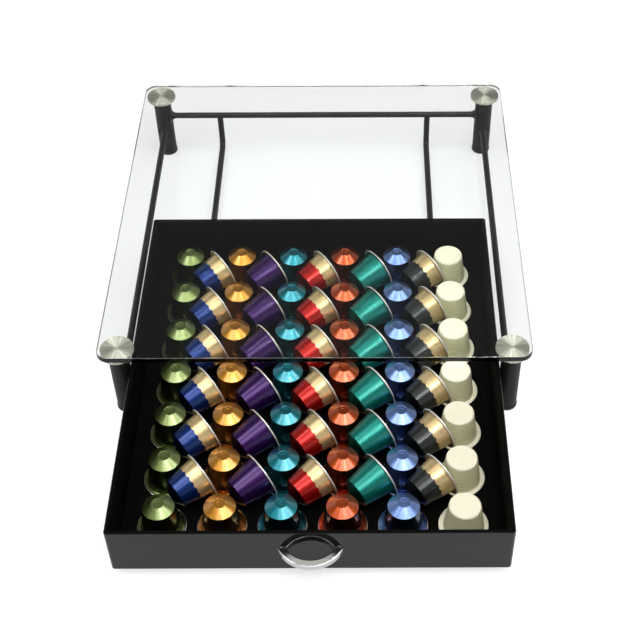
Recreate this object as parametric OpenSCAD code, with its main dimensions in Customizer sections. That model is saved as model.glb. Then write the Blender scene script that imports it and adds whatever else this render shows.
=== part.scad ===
// Coffee capsule rack: a glass shelf on four tube legs, over a drawer that slides on two bent rods.
// Millimetres, +Z up, the drawer opens towards -Y.
// The origin is the middle of the rack's footprint on the worktop, with the drawer part open.

/* [Capsules] */
// Diameter of the capsule's flange
capsule_rim_d = 36.6; // [34:0.1:38]
// Thickness of the flange
capsule_flange_t = 1; // [0.6:0.1:1.6]
// Diameter of the cup where it meets the flange
capsule_base_d = 30; // [28:0.1:31]
// Diameter of the cup at its shoulder
capsule_shoulder_d = 23.5; // [22:0.1:25]
// Height of the shoulder above the drawer floor
capsule_shoulder_h = 24; // [22:0.1:25]
// Diameter of the flat end of the cone
capsule_tip_d = 9.2; // [6:0.1:11]
// Height of a capsule with a cone end
capsule_h = 28.4; // [27:0.1:29.5]
// Diameter of the flat end of a blunt capsule
capsule_blunt_d = 22; // [20:0.1:23]
// Height of a blunt capsule
capsule_blunt_h = 24.8; // [24.2:0.1:26]
// Wall of the cup
capsule_wall = 0.4; // [0.2:0.05:0.6]
// Thickness of the foil lid
capsule_lid_t = 0.2; // [0.1:0.05:0.4]
// Margin of the flange outside the foil lid
capsule_lid_margin = 0.5; // [0.2:0.1:1]

/* [Capsule layout] */
// Columns of standing capsules
capsule_columns = 6; // [3:1:6]
// Standing capsules in a column
capsule_rows = 7; // [3:1:9]
// Gap between the flanges of two columns
column_gap = 7.4; // [6:0.1:12]
// Gap between the flanges of two rows
row_gap = 6.4; // [6:0.1:12]
// Rim centre of a lying capsule, to the right of the middle of its four neighbours
lying_x = 7; // [6.8:0.1:7.4]
// Rim centre of a lying capsule, behind the middle of its four neighbours
lying_y = 10.6; // [10:0.1:11]
// Turn of a lying capsule's axis away from the drawer's width
lying_turn = 37; // [35:0.5:38]
// Dip of a lying capsule's cone below its rim
lying_dip = 11; // [9:0.5:13]
// Gap between a lying capsule's rim and the flange that it lies on
lying_gap = 0.35; // [0.3:0.05:1]

/* [Drawer] */
// Gap between the outer columns and the drawer's sides
side_margin = 11.2; // [6:0.1:20]
// Gap between the front row and the drawer's front
front_margin = 13.4; // [8:0.1:20]
// Gap between the back row and the drawer's back
back_margin = 7; // [4:0.1:20]
// Height of the drawer inside
drawer_inner_h = 41; // [39:0.5:50]
// Thickness of the drawer's front, back and sides
drawer_wall = 3; // [2:0.1:5]
// Thickness of the drawer's floor
drawer_floor_t = 2.5; // [2:0.1:5]
// Radius of the drawer's upright corners
drawer_corner_r = 2.5; // [1:0.1:2.9]
// How far the drawer stands open
drawer_open = 152.5; // [0:0.5:230]

/* [Handle] */
// Outer radius of the bow
handle_r = 25; // [22:0.5:32]
// Width of the bow's band
handle_band = 5.5; // [5:0.1:8]
// Height of the bow's band
handle_t = 5.5; // [4.5:0.1:9]
// Distance of the bow's centre behind the drawer's front face
handle_setback = 10; // [6:0.5:11]
// Height of the bow above the drawer's underside
handle_h = 23; // [12:0.5:30]
// Diameter of the handle screws
screw_d = 3; // [2.5:0.1:3.2]
// Depth of the screws in the bow
screw_depth = 3.5; // [2.5:0.1:4]
// Diameter of the screw heads
screw_head_d = 5.6; // [4.6:0.1:7]
// Height of the screw heads
screw_head_t = 2; // [1.5:0.1:3]

/* [Legs] */
// Outer diameter of the leg tubes
leg_d = 16; // [14:0.5:19]
// Wall of the leg tubes
leg_wall = 1.5; // [1:0.1:2]
// Diameter of the glide under each leg
foot_d = 17; // [16:0.5:20]
// Height of the glide below the tube
foot_h = 3; // [2:0.1:4]
// Radius of the glide's lower edge
foot_round = 1.5; // [0.5:0.1:1.8]
// Length of the glide's plug in the tube
foot_plug = 9; // [6:0.5:14]
// Length of the threaded insert in the top of the tube
insert_len = 16; // [10:0.5:20]

/* [Glass shelf] */
// Thickness of the glass
glass_t = 5; // [4:0.5:8]
// Radius of the glass corners
glass_corner_r = 10; // [4:0.5:13]
// Glass beyond a leg's axis, to the left or right
glass_side = 15; // [14:0.5:30]
// Glass beyond a leg's axis, to the front or back
glass_end = 13.5; // [13.5:0.5:30]
// Gap between the drawer's top edge and the glass
glass_gap = 11.3; // [6:0.1:40]
// Diameter of the steel disc bonded under each glass corner
disc_d = 26; // [20:0.5:27]
// Thickness of the disc
disc_t = 3; // [2:0.5:5]
// Bevel of the disc's edge
disc_bevel = 0.4; // [0.2:0.1:0.8]
// Diameter of the disc's threaded stud
stud_d = 6; // [5:0.5:8]
// Length of the stud
stud_len = 12; // [8:0.5:15]

/* [Rod frame] */
// Diameter of the rods
rod_d = 5.5; // [4:0.5:6]
// Gap between the worktop and the runners
runner_lift = 4.4; // [4.2:0.1:10]
// Distance of a runner's axis inside the drawer's side
runner_inset = 43.8; // [10:0.2:60]
// Radius of the runner's bend, on its axis
runner_bend = 8; // [6:0.5:12]
// Height of the rear crossbar's axis
rear_bar_z = 42; // [36:0.5:48]
// Height of the side rails' axes
side_rail_z = 28; // [20:0.5:34]
// Diameter of the weld at a rod's end
weld_d = 7.4; // [6.5:0.1:8]
// Length of the weld along the rod
weld_len = 1.2; // [0.6:0.1:1.2]

/* [Clearances] */
// Gap between the drawer and each leg
drawer_side_gap = 1.5; // [1.5:0.1:4]
// Gap between the drawer's underside and the runners
slide_gap = 0.3; // [0.3:0.05:1]
// Gap between the closed drawer and the start of the runners' bends
stop_gap = 0.3; // [0.3:0.05:2]
// How far the closed drawer's front stands ahead of the front legs' axes
front_proud = 8.5; // [0:0.5:12]
// Gap round threads, plugs and weld seams
fit_gap = 0.05; // [0.02:0.01:0.1]

/* [Hidden] */
$fn = 64;

// Margin by which a cutting shape passes the face that it cuts
over = 1;

// Plan of the drawer, worked out from the capsules that it holds
column_pitch = capsule_rim_d + column_gap;
row_pitch = capsule_rim_d + row_gap;
drawer_inner_w = 2 * side_margin + (capsule_columns - 1) * column_pitch + capsule_rim_d;
drawer_inner_l = front_margin + (capsule_rows - 1) * row_pitch + capsule_rim_d + back_margin;
drawer_w = drawer_inner_w + 2 * drawer_wall;
drawer_l = drawer_inner_l + 2 * drawer_wall;

// Plan of the legs, the runners and the glass, worked out from the drawer
leg_x = drawer_w / 2 + drawer_side_gap + leg_d / 2;
leg_y = (drawer_l + stop_gap + runner_bend - front_proud) / 2;
runner_x = drawer_w / 2 - runner_inset;
glass_w = 2 * (leg_x + glass_side);
glass_d = 2 * (leg_y + glass_end);

// Heights, from the worktop up
runner_z = runner_lift + rod_d / 2;
drawer_z = runner_z + rod_d / 2 + slide_gap;
drawer_h = drawer_floor_t + drawer_inner_h;
floor_z = drawer_z + drawer_floor_t;
glass_z = drawer_z + drawer_h + glass_gap;
disc_z = glass_z - disc_t;

// The drawer's front face and the rack's middle along Y, with the footprint centred on the origin
front_y = -leg_y - front_proud - drawer_open;
handle_reach = handle_r - handle_setback;
rack_y = -(glass_d / 2 + front_y - handle_reach) / 2;

// Screws sit in the middle of the band, halfway along their depth
screw_x = sqrt(pow(handle_r - handle_band / 2, 2) - pow(handle_setback + screw_depth / 2, 2));

// Height of a lying capsule's rim centre above the drawer floor
lying_z = capsule_lid_t + capsule_flange_t + lying_gap
    + capsule_rim_d / 2 * cos(lying_dip)
    + (capsule_lid_t + capsule_flange_t) * sin(lying_dip);

// Middle of the front left standing capsule
first_x = -(capsule_columns - 1) / 2 * column_pitch;
first_y = front_y + drawer_wall + front_margin + capsule_rim_d / 2;

module in_rack() {
    translate([0, rack_y, 0]) children();
}

module at_leg(side, end) {
    in_rack() translate([side * leg_x, end * leg_y, 0]) children();
}

module at_every_leg() {
    for (side = [-1, 1], end = [-1, 1])
        at_leg(side, end) children();
}

// Flat plate with round upright corners
module round_plate(width, depth, height, radius) {
    linear_extrude(height) {
        square([width - 2 * radius, depth], center = true);
        square([width, depth - 2 * radius], center = true);
        for (x = [-1, 1], y = [-1, 1])
            translate([x * (width / 2 - radius), y * (depth / 2 - radius)])
                circle(radius);
    }
}

module glass_top() {
    color("LightCyan", 0.35)
        in_rack()
            translate([0, 0, glass_z])
                round_plate(glass_w, glass_d, glass_t, glass_corner_r);
}

// Turned steel disc, bevelled at both edges
module glass_disc(side, end) {
    color("Gainsboro")
        at_leg(side, end)
            translate([0, 0, disc_z])
                rotate_extrude()
                    polygon([
                        [0, 0],
                        [disc_d / 2 - disc_bevel, 0],
                        [disc_d / 2, disc_bevel],
                        [disc_d / 2, disc_t - disc_bevel],
                        [disc_d / 2 - disc_bevel, disc_t],
                        [0, disc_t],
                    ]);
}

module disc_studs() {
    color("Silver")
        at_every_leg()
            translate([0, 0, disc_z - stud_len])
                cylinder(h = stud_len, d = stud_d);
}

module leg_tube(side, end) {
    color("#1c1c1e")
        at_leg(side, end)
            translate([0, 0, foot_h])
                difference() {
                    cylinder(h = disc_z - foot_h, d = leg_d);
                    translate([0, 0, -over])
                        cylinder(h = disc_z - foot_h + 2 * over, d = leg_d - 2 * leg_wall);
                }
}

// Threaded steel insert, pressed into the top of each tube
module leg_inserts() {
    color("Silver")
        at_every_leg()
            translate([0, 0, disc_z - insert_len])
                difference() {
                    cylinder(h = insert_len, d = leg_d - 2 * leg_wall - 2 * fit_gap);
                    translate([0, 0, -over])
                        cylinder(h = insert_len + 2 * over, d = stud_d + 2 * fit_gap);
                }
}

// Glide with a rounded lower edge and a plug that fills the end of the tube
module foot(side, end) {
    color("#141414")
        at_leg(side, end) {
            rotate_extrude() {
                square([foot_d / 2 - foot_round, foot_h]);
                translate([0, foot_round])
                    square([foot_d / 2, foot_h - foot_round]);
                translate([foot_d / 2 - foot_round, foot_round])
                    circle(foot_round);
            }
            cylinder(h = foot_h + foot_plug, d = leg_d - 2 * leg_wall - 2 * fit_gap);
        }
}

// Rod along Z with a weld cone at both ends, before its ends are shaped to what they meet
module welded_rod(length) {
    cylinder(h = length, d = rod_d);
    translate([0, 0, leg_d / 2])
        cylinder(h = weld_len, d1 = weld_d, d2 = rod_d);
    translate([0, 0, length - leg_d / 2 - weld_len])
        cylinder(h = weld_len, d1 = rod_d, d2 = weld_d);
}

module leg_cutters() {
    for (side = [-1, 1], end = [-1, 1])
        translate([side * leg_x, end * leg_y, 0])
            cylinder(h = disc_z, d = leg_d + 2 * fit_gap);
}

// Crossbar between the two legs at one end
module crossbar(end, height) {
    color("#1c1c1e")
        in_rack()
            difference() {
                translate([-leg_x, end * leg_y, height])
                    rotate([0, 90, 0])
                        welded_rod(2 * leg_x);
                leg_cutters();
            }
}

// Rail between the two legs on one side
module side_rail(side) {
    color("#1c1c1e")
        in_rack()
            difference() {
                translate([side * leg_x, leg_y, side_rail_z])
                    rotate([90, 0, 0])
                        welded_rod(2 * leg_y);
                leg_cutters();
            }
}

// Rod along X that a runner's end is shaped to
module bar_cutter(end, height) {
    translate([-runner_x - leg_d, end * leg_y, height])
        rotate([0, 90, 0])
            cylinder(h = 2 * (runner_x + leg_d), d = rod_d + 2 * fit_gap);
}

// Runner: down from the rear crossbar, round a bend and forward to the front crossbar
module runner(side) {
    color("#1c1c1e")
        in_rack()
            difference() {
                translate([side * runner_x, 0, 0]) {
                    translate([0, leg_y, runner_z + runner_bend])
                        cylinder(h = rear_bar_z - runner_z - runner_bend, d = rod_d);
                    translate([0, leg_y - runner_bend, runner_z + runner_bend])
                        rotate([0, 90, 0])
                            rotate_extrude(angle = 90)
                                translate([runner_bend, 0])
                                    circle(d = rod_d);
                    translate([0, leg_y - runner_bend, runner_z])
                        rotate([90, 0, 0])
                            cylinder(h = 2 * leg_y - runner_bend, d = rod_d);
                }
                bar_cutter(1, rear_bar_z);
                bar_cutter(-1, runner_z);
            }
}

// The drawer's parts are drawn from the middle of its front face, at its underside
module in_drawer() {
    in_rack() translate([0, front_y, drawer_z]) children();
}

module drawer_floor() {
    color("#101010")
        in_drawer()
            translate([-drawer_inner_w / 2, drawer_wall, 0])
                cube([drawer_inner_w, drawer_inner_l, drawer_floor_t]);
}

// End panel that stands upright at y = 0, with its outer upright corners rounded
module end_panel() {
    linear_extrude(drawer_h) {
        translate([-drawer_w / 2 + drawer_corner_r, 0])
            square([drawer_w - 2 * drawer_corner_r, drawer_wall]);
        translate([-drawer_w / 2, drawer_corner_r])
            square([drawer_w, drawer_wall - drawer_corner_r]);
        for (side = [-1, 1])
            translate([side * (drawer_w / 2 - drawer_corner_r), drawer_corner_r])
                intersection() {
                    circle(drawer_corner_r);
                    translate([-drawer_corner_r, -drawer_corner_r])
                        square([2 * drawer_corner_r, drawer_corner_r]);
                }
    }
}

module drawer_front() {
    color("#2a2a2c")
        in_drawer()
            difference() {
                end_panel();
                for (side = [-1, 1])
                    translate([side * screw_x, -over, handle_h])
                        rotate([-90, 0, 0])
                            cylinder(h = drawer_wall + 2 * over, d = screw_d + 2 * fit_gap);
            }
}

module drawer_back() {
    color("#1a1a1c")
        in_drawer()
            translate([0, drawer_l, 0])
                mirror([0, 1, 0])
                    end_panel();
}

module drawer_side(side) {
    color("#1a1a1c")
        in_drawer()
            translate([side * (drawer_w - drawer_wall) / 2 - drawer_wall / 2, drawer_wall, 0])
                cube([drawer_wall, drawer_inner_l, drawer_h]);
}

// Bow handle: the part of a flat ring that stands ahead of the drawer's front face
module drawer_handle() {
    color("WhiteSmoke")
        in_drawer()
            translate([0, 0, handle_h])
                difference() {
                    translate([0, handle_setback, -handle_t / 2])
                        difference() {
                            cylinder(h = handle_t, r = handle_r);
                            translate([0, 0, -over])
                                cylinder(h = handle_t + 2 * over, r = handle_r - handle_band);
                        }
                    translate([-handle_r - over, 0, -handle_t])
                        cube([2 * (handle_r + over), handle_r + handle_setback + over, 2 * handle_t]);
                    for (side = [-1, 1])
                        translate([side * screw_x, over, 0])
                            rotate([90, 0, 0])
                                cylinder(h = over + screw_depth + fit_gap, d = screw_d + 2 * fit_gap);
                }
}

// Screws from inside the drawer, through its front and into the bow
module handle_screws() {
    color("Silver")
        in_drawer()
            for (side = [-1, 1])
                translate([side * screw_x, drawer_wall, handle_h])
                    rotate([90, 0, 0]) {
                        cylinder(h = drawer_wall + screw_depth, d = screw_d);
                        translate([0, 0, -screw_head_t])
                            cylinder(h = screw_head_t, d = screw_head_d);
                    }
}

// Standing capsules of one column, on their foil lids
module in_column(column) {
    for (row = [0 : capsule_rows - 1])
        in_rack()
            translate([first_x + column * column_pitch, first_y + row * row_pitch, floor_z])
                children();
}

// Lying capsules of one column, each in the middle of four standing ones
module in_lying_column(column) {
    for (row = [0 : capsule_rows - 2])
        in_rack()
            translate([
                first_x + (column + 0.5) * column_pitch + lying_x,
                first_y + (row + 0.5) * row_pitch + lying_y,
                floor_z + lying_z,
            ])
                rotate([0, 90 + lying_dip, 180 + lying_turn])
                    children();
}

// Thin drawn cup: flange, tapered wall and an end of the given diameter and height
module cup(end_d, end_h) {
    flange_z = capsule_lid_t + capsule_flange_t;
    rotate_extrude()
        polygon([
            [capsule_rim_d / 2, capsule_lid_t],
            [capsule_rim_d / 2, flange_z],
            [capsule_base_d / 2, flange_z],
            [capsule_shoulder_d / 2, capsule_shoulder_h],
            [end_d / 2, end_h],
            [0, end_h],
            [0, end_h - capsule_wall],
            [end_d / 2, end_h - capsule_wall],
            [capsule_shoulder_d / 2 - capsule_wall, capsule_shoulder_h - capsule_wall],
            [capsule_base_d / 2 - capsule_wall, capsule_lid_t],
        ]);
}

module standing_cups(column, paint) {
    color(paint) in_column(column) cup(capsule_tip_d, capsule_h);
}

module blunt_cups(column, paint) {
    color(paint) in_column(column) cup(capsule_blunt_d, capsule_blunt_h);
}

module lying_cups(column, paint) {
    color(paint) in_lying_column(column) cup(capsule_tip_d, capsule_h);
}

module lid() {
    cylinder(h = capsule_lid_t, d = capsule_rim_d - 2 * capsule_lid_margin);
}

module standing_lids() {
    color("Silver")
        for (column = [0 : capsule_columns - 1])
            in_column(column) lid();
}

module lying_lids() {
    color("Silver")
        for (column = [0 : capsule_columns - 2])
            in_lying_column(column) lid();
}

glass_top();
glass_disc(-1, -1);  // disc_front_left
glass_disc(1, -1);  // disc_front_right
glass_disc(-1, 1);  // disc_rear_left
glass_disc(1, 1);  // disc_rear_right
disc_studs();
leg_tube(-1, -1);  // leg_front_left
leg_tube(1, -1);  // leg_front_right
leg_tube(-1, 1);  // leg_rear_left
leg_tube(1, 1);  // leg_rear_right
leg_inserts();
foot(-1, -1);  // foot_front_left
foot(1, -1);  // foot_front_right
foot(-1, 1);  // foot_rear_left
foot(1, 1);  // foot_rear_right
crossbar(1, rear_bar_z);  // rear_crossbar
crossbar(-1, runner_z);  // front_crossbar
side_rail(-1);  // side_rail_left
side_rail(1);  // side_rail_right
runner(-1);  // runner_left
runner(1);  // runner_right
drawer_floor();
drawer_front();
drawer_back();
drawer_side(-1);  // drawer_side_left
drawer_side(1);  // drawer_side_right
drawer_handle();
handle_screws();
standing_cups(0, "#6f7f3c");  // capsules_olive
standing_cups(1, "#d9a441");  // capsules_gold
standing_cups(2, "#1f9cb0");  // capsules_teal
standing_cups(3, "#c9542b");  // capsules_copper
standing_cups(4, "#7f93cf");  // capsules_periwinkle
blunt_cups(5, "#e6e2b4");  // capsules_cream
lying_cups(0, "#17407f");  // capsules_navy
lying_cups(1, "#3a1a5c");  // capsules_purple
lying_cups(2, "#c22a20");  // capsules_red
lying_cups(3, "#0f6b5e");  // capsules_green
lying_cups(4, "#2c2c2a");  // capsules_black
standing_lids();
lying_lids();
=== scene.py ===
"""Coffee capsule rack: a glass shelf on four tube legs, over a drawer of capsules on two bent rods."""

import math

import bmesh
import bpy
from mathutils import Matrix, Vector


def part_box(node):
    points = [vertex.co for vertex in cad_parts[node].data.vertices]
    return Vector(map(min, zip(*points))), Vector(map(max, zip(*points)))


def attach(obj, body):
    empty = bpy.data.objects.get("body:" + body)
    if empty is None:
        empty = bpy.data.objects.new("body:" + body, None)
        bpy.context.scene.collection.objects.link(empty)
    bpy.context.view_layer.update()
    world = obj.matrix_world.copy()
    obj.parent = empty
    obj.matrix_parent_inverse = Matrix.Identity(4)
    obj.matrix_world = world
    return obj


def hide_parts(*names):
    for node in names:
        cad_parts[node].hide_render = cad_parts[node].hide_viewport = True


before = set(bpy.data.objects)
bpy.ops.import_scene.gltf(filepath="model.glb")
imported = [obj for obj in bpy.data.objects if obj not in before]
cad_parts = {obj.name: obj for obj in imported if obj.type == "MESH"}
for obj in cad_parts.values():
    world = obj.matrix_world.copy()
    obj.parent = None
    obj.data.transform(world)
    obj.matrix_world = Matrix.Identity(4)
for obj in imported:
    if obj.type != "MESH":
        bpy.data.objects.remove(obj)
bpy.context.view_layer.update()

# Glides: four plugs of black polyethylene, moulded with a soft lower edge.
# Each is pressed into the lower end of a leg tube and carries it on the worktop.
MM = 0.001
CORNERS = ("front_left", "front_right", "rear_left", "rear_right")
TUBE_WALL = 1.5 * MM
PLUG_GAP = 0.05 * MM
GLIDE_ROUND = 1.5 * MM
GLIDE_EDGE = 0.25 * MM
PLUG_ROOT = 0.2 * MM
PLUG_LEAD = 0.8 * MM


def linear(colour):
    """An sRGB hex value as the linear colour that a shader takes."""
    shares = [int(colour[at:at + 2], 16) / 255 for at in (1, 3, 5)]
    return [s / 12.92 if s <= 0.04045 else ((s + 0.055) / 1.055) ** 2.4 for s in shares] + [1.0]


def add(tree, kind, inputs=(), **settings):
    """Adds a node with its settings; each input is a plain value, or the output that feeds it."""
    node = tree.nodes.new(kind)
    for name, value in settings.items():
        setattr(node, name, value)
    for name, value in dict(inputs).items():
        if isinstance(value, bpy.types.NodeSocket):
            tree.links.new(value, node.inputs[name])
        else:
            node.inputs[name].default_value = value
    return node


def new_finish(name):
    """A material with an empty node tree, and that tree."""
    finish = bpy.data.materials.new(name)
    finish.use_nodes = True
    finish.node_tree.nodes.clear()
    return finish, finish.node_tree


def rounded(corners, closed=False, steps=4, crisp=0.3):
    """Outline through corners (across, up, radius). Each radius becomes an arc, with a point close beside
    either end of it, so that the flats between the arcs are shaded flat."""
    points = []
    for i, (across, up, radius) in enumerate(corners):
        corner = Vector((across, up))
        if not radius:
            points.append(corner)
            continue
        back = (Vector(corners[i - 1][:2]) - corner).normalized()
        ahead = (Vector(corners[(i + 1) % len(corners)][:2]) - corner).normalized()
        half = back.angle(ahead) / 2
        reach = radius / math.tan(half)
        middle = corner + (back + ahead).normalized() * radius / math.sin(half)
        spoke = corner + back * reach - middle
        sweep = math.copysign(math.pi - 2 * half, ahead.cross(back))
        points.append(corner + back * (reach + crisp * radius))
        points += [middle + Matrix.Rotation(sweep * step / steps, 2) @ spoke for step in range(steps + 1)]
        points.append(corner + ahead * (reach + crisp * radius))
    return points + points[:1] if closed else points


def turned(outline, sides=48):
    """Mesh of an outline (radius, height) turned round Z. Its UV map "turn" holds the share of a turn and the
    distance along the outline, and "section" the radius and the height, all in metres."""
    bm = bmesh.new()
    turn_map = bm.loops.layers.uv.new("turn")
    section_map = bm.loops.layers.uv.new("section")
    on_axis = 1e-7  # metres from Z within which a ring is one point
    ring_shut = outline[0] == outline[-1]
    rings = []
    along = [0.0]
    for i, (radius, height) in enumerate(outline):
        if i:
            along.append(along[-1] + (outline[i] - outline[i - 1]).length)
        if ring_shut and i == len(outline) - 1:
            rings.append(rings[0])
        elif radius < on_axis:
            rings.append([bm.verts.new((0, 0, height))] * (sides + 1))
        else:
            ring = []
            for side in range(sides):
                angle = 2 * math.pi * side / sides
                ring.append(bm.verts.new((radius * math.cos(angle), radius * math.sin(angle), height)))
            rings.append(ring + ring[:1])
    for i in range(len(outline) - 1):
        for side in range(sides):
            places = [(i, side), (i, side + 1), (i + 1, side + 1), (i + 1, side)]
            corners = {rings[at][step]: (at, step) for at, step in places}
            if len(corners) < 3:
                continue
            face = bm.faces.new(corners)
            face.smooth = True
            for loop in face.loops:
                at, step = corners[loop.vert]
                loop[turn_map].uv = step / sides, along[at]
                loop[section_map].uv = outline[at]
    bmesh.ops.recalc_face_normals(bm, faces=bm.faces)
    return as_mesh(bm)


def as_mesh(bm):
    """The plain mesh of a shape under construction."""
    mesh = bpy.data.meshes.new("shape")
    bm.to_mesh(mesh)
    bm.free()
    return mesh


def shift(mesh, x, y, z):
    """Moves a mesh to its place."""
    mesh.transform(Matrix.Translation((x, y, z)))


def in_scene(name, data):
    """A new object, linked into the scene."""
    thing = bpy.data.objects.new(name, data)
    bpy.context.scene.collection.objects.link(thing)
    return thing


def fitted(name, mesh, body, slot, *nodes):
    """The finished piece: it rides on its body and stands for its nodes. Its slot is not used."""
    piece = in_scene(name, mesh)
    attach(piece, body)
    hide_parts(*nodes)
    return piece


def moulded_polyethylene():
    """Polyethylene from an eroded mould: soft grey-black, with a fine pebble that breaks up its sheen."""
    pebble_size = 0.9 * MM
    pebble_depth = 0.05 * MM
    finish, tree = new_finish("moulded_polyethylene")
    place = add(tree, "ShaderNodeTexCoord")
    pebble = add(tree, "ShaderNodeTexNoise", {
        "Vector": place.outputs["Object"], "Scale": 1 / pebble_size, "Detail": 2.0})
    relief = add(tree, "ShaderNodeBump", {
        "Height": pebble.outputs[0], "Strength": 0.4, "Distance": pebble_depth})
    shader = add(tree, "ShaderNodeBsdfPrincipled", {
        "Base Color": linear("#171718"), "Roughness": 0.5, "IOR": 1.51, "Normal": relief.outputs[0]})
    add(tree, "ShaderNodeOutputMaterial", {"Surface": shader.outputs[0]})
    return finish


polyethylene = moulded_polyethylene()
for corner in CORNERS:
    low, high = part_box(f"foot_{corner}")
    tube_low, tube_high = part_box(f"leg_{corner}")
    glide_r = (high.x - low.x) / 2
    plug_r = (tube_high.x - tube_low.x) / 2 - TUBE_WALL - PLUG_GAP
    glide = turned(rounded([
        (0, low.z, 0),
        (glide_r, low.z, GLIDE_ROUND),
        (glide_r, tube_low.z, GLIDE_EDGE),
        (plug_r, tube_low.z, PLUG_ROOT),
        (plug_r, high.z, PLUG_LEAD),
        (0, high.z, 0),
    ]))
    shift(glide, (low.x + high.x) / 2, (low.y + high.y) / 2, 0)
    glide.materials.append(polyethylene)
    fitted(f"glide_{corner}", glide, "frame", "glide_plastic", f"foot_{corner}")

# Leg tubes: four lengths of round steel tube, sawn square and deburred at both ends.
# They are welded to the rods and powder-coated black with them.
DEBURRED = 0.35 * MM


def powder_coat():
    """Baked polyester powder: satin black, with the slight orange peel that the melt leaves."""
    peel_size = 1.1 * MM
    peel_depth = 0.06 * MM
    cloud_size = 14 * MM
    finish, tree = new_finish("black_powder_coat")
    place = add(tree, "ShaderNodeTexCoord")
    peel = add(tree, "ShaderNodeTexNoise", {
        "Vector": place.outputs["Object"], "Scale": 1 / peel_size, "Detail": 1.0})
    relief = add(tree, "ShaderNodeBump", {
        "Height": peel.outputs[0], "Strength": 0.35, "Distance": peel_depth})
    cloud = add(tree, "ShaderNodeTexNoise", {
        "Vector": place.outputs["Object"], "Scale": 1 / cloud_size, "Detail": 3.0})
    sheen = add(tree, "ShaderNodeMapRange", {
        "Value": cloud.outputs[0], "From Min": 0.3, "From Max": 0.7, "To Min": 0.34, "To Max": 0.46})
    tone = add(tree, "ShaderNodeMix", {
        0: cloud.outputs[0], 6: linear("#141312"), 7: linear("#1c1a18")}, data_type="RGBA")
    shader = add(tree, "ShaderNodeBsdfPrincipled", {
        "Base Color": tone.outputs[2], "Roughness": sheen.outputs[0], "Specular IOR Level": 0.3,
        "Normal": relief.outputs[0]})
    add(tree, "ShaderNodeOutputMaterial", {"Surface": shader.outputs[0]})
    return finish


powder_black = powder_coat()
leg_axes = {}
for corner in CORNERS:
    low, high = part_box(f"leg_{corner}")
    leg_axes[corner] = Vector(((low.x + high.x) / 2, (low.y + high.y) / 2, 0))
    tube_r = (high.x - low.x) / 2
    tube = turned(rounded([
        (tube_r, low.z, DEBURRED),
        (tube_r, high.z, DEBURRED),
        (tube_r - TUBE_WALL, high.z, DEBURRED),
        (tube_r - TUBE_WALL, low.z, DEBURRED),
    ], closed=True))
    shift(tube, *leg_axes[corner])
    tube.materials.append(powder_black)
    fitted(f"tube_{corner}", tube, "frame", "black_powder_coat", f"leg_{corner}")

# Rod frame: six lengths of round steel rod, two of them bent to hang from the rear crossbar as runners.
# Crossbars and rails are welded to the tubes with a fillet, and the runners to the crossbars.
# All are powder-coated with the tubes.
WELD_SINK = 1.4 * MM
REAR_WELD = 5.5 * MM
FRONT_WELD = 2.4 * MM
RAIL_WELD = 3.6 * MM
RUNNER_BEND = 8 * MM
BEND_POINTS = 12
ROD_SIDES = 24
WELD_ROWS = 6
rod_r = (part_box("runner_left")[1].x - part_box("runner_left")[0].x) / 2


def new_group(name, sockets, result):
    """A Geometry Nodes tree with its named inputs and its one output, and the inputs' sockets."""
    tree = bpy.data.node_groups.new(name, "GeometryNodeTree")
    for label, kind in sockets.items():
        tree.interface.new_socket(label, in_out="INPUT", socket_type=f"NodeSocket{kind}")
    tree.interface.new_socket(result, in_out="OUTPUT", socket_type="NodeSocketGeometry")
    return tree, add(tree, "NodeGroupInput").outputs


def end_group(tree, shape, finish):
    """Ends a tree: what it made becomes plain faces with their finish on."""
    real = add(tree, "GeometryNodeRealizeInstances", {"Geometry": shape.outputs[0]})
    coated = add(tree, "GeometryNodeSetMaterial", {"Geometry": real.outputs[0], "Material": finish})
    add(tree, "NodeGroupOutput", {0: coated.outputs[0]})
    return tree


def rod_nodes():
    """Geometry nodes for a round rod along a line of points, bent round at its corners."""
    tree, given = new_group("bent_rod", {
        "Line": "Geometry",
        "Bend radius": "Float",
        "Bend points": "Int",
        "Rod radius": "Float",
        "Sides": "Int",
        "Finish": "Material",
    }, "Rod")
    bent = add(tree, "GeometryNodeFilletCurve", {
        "Curve": given["Line"], "Radius": given["Bend radius"], "Count": given["Bend points"]}, mode="POLY")
    section = add(tree, "GeometryNodeCurvePrimitiveCircle", {
        "Resolution": given["Sides"], "Radius": given["Rod radius"]})
    thickness = add(tree, "GeometryNodeInputRadius")
    swept = add(tree, "GeometryNodeCurveToMesh", {
        "Curve": bent.outputs[0], "Profile Curve": section.outputs[0],
        "Scale": thickness.outputs[0], "Fill Caps": True})
    smooth = add(tree, "GeometryNodeSetShadeSmooth", {"Geometry": swept.outputs[0]})
    return end_group(tree, smooth, given["Finish"])


def grown(shape, tree, settings):
    """The plain mesh that a node tree grows from a mesh or a curve."""
    holder = in_scene(tree.name, shape)
    modifier = holder.modifiers.new(tree.name, "NODES")
    modifier.node_group = tree
    for socket in tree.interface.items_tree:
        if socket.name in settings:
            modifier[socket.identifier] = settings[socket.name]
    return settled(holder)


def settled(holder):
    """The holder's shape with its modifiers applied, as a plain mesh; the holder goes."""
    bpy.context.view_layer.update()
    made = bpy.context.evaluated_depsgraph_get()
    mesh = bpy.data.meshes.new_from_object(
        holder.evaluated_get(made), preserve_all_data_layers=True, depsgraph=made)
    bpy.data.objects.remove(holder)
    return mesh


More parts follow.
